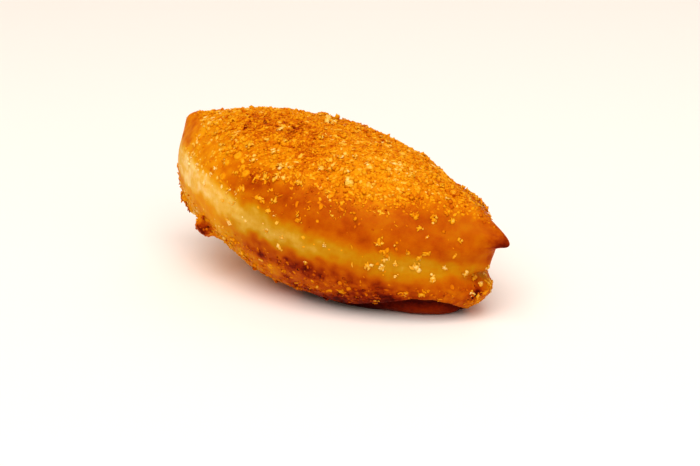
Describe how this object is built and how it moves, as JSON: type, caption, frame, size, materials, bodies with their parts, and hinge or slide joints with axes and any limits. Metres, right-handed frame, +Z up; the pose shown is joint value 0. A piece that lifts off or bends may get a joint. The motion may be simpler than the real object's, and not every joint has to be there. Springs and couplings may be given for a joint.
{
  "type": "curry bread",
  "caption": "Deep-fried curry bread: a whole spindle-shaped bun with pinched ends and a breadcrumb coat, lying on a flat spot; food to pick up and eat.",
  "frame": {"origin": "on the table, under the middle of the bun's bounding box", "axes": "+Z up, +X along the bun towards its longer nib, +Y across it"},
  "size_m": [0.1182, 0.06, 0.049],
  "materials": {
    "fried_crust": "golden-brown fried dough and toasted breadcrumbs, slightly oily, with a pale line around the waist"
  },
  "bodies": {
    "root": {"curry_bread": "fried_crust"}
  },
  "joints": []
}
